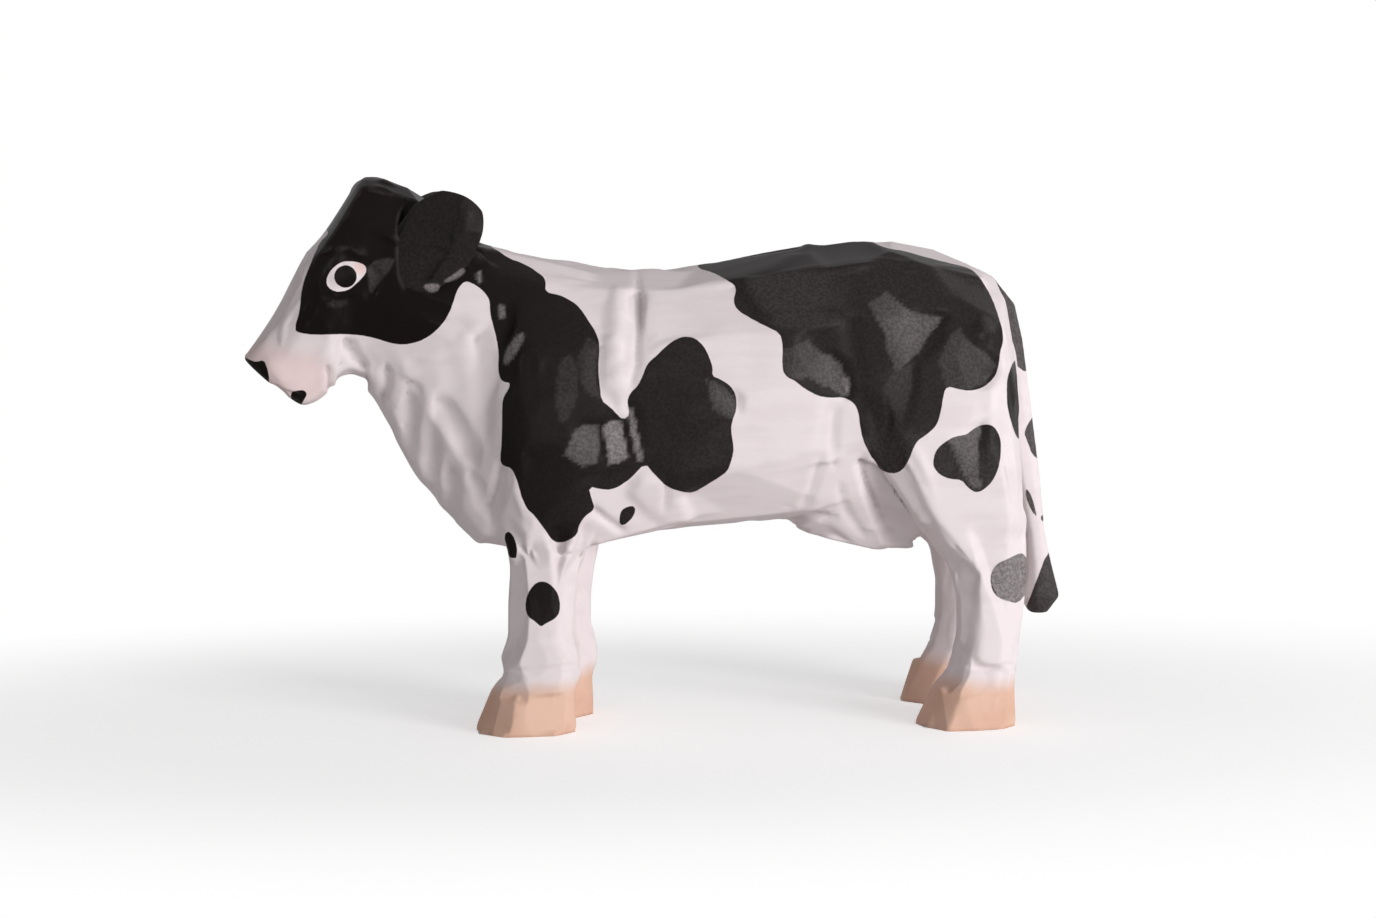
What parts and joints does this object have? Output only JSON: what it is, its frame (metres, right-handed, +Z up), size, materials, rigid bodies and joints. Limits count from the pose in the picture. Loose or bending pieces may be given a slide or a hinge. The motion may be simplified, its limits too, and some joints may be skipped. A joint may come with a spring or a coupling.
{
  "type": "carved wooden cow figurine",
  "caption": "Standing cow figurine carved from wood with knife-cut facets, painted with a black and white patched coat, tan hooves and a pink muzzle; stands freely on its hooves.",
  "frame": {"origin": "on the floor under the middle of the cow's overall box", "axes": "+X from nose to tail, +Y to the cow's right, +Z up"},
  "size_m": [0.1248, 0.036, 0.0825],
  "materials": {
    "white_coat": "matte white paint",
    "black_coat": "satin black paint",
    "bare_wood": "bare"
  },
  "bodies": {
    "root": {"trunk": "white_coat", "head": "white_coat", "ear_left": "black_coat", "ear_right": "black_coat", "fore_leg_left": "white_coat", "fore_leg_right": "white_coat", "hind_leg_left": "white_coat", "hind_leg_right": "white_coat", "tail": "white_coat", "neck_dowel_upper": "bare_wood", "neck_dowel_lower": "bare_wood", "fore_leg_left_dowel": "bare_wood", "fore_leg_right_dowel": "bare_wood", "hind_leg_left_dowel": "bare_wood", "hind_leg_right_dowel": "bare_wood", "ear_peg_left": "bare_wood", "ear_peg_right": "bare_wood", "tail_peg": "bare_wood"}
  },
  "joints": []
}
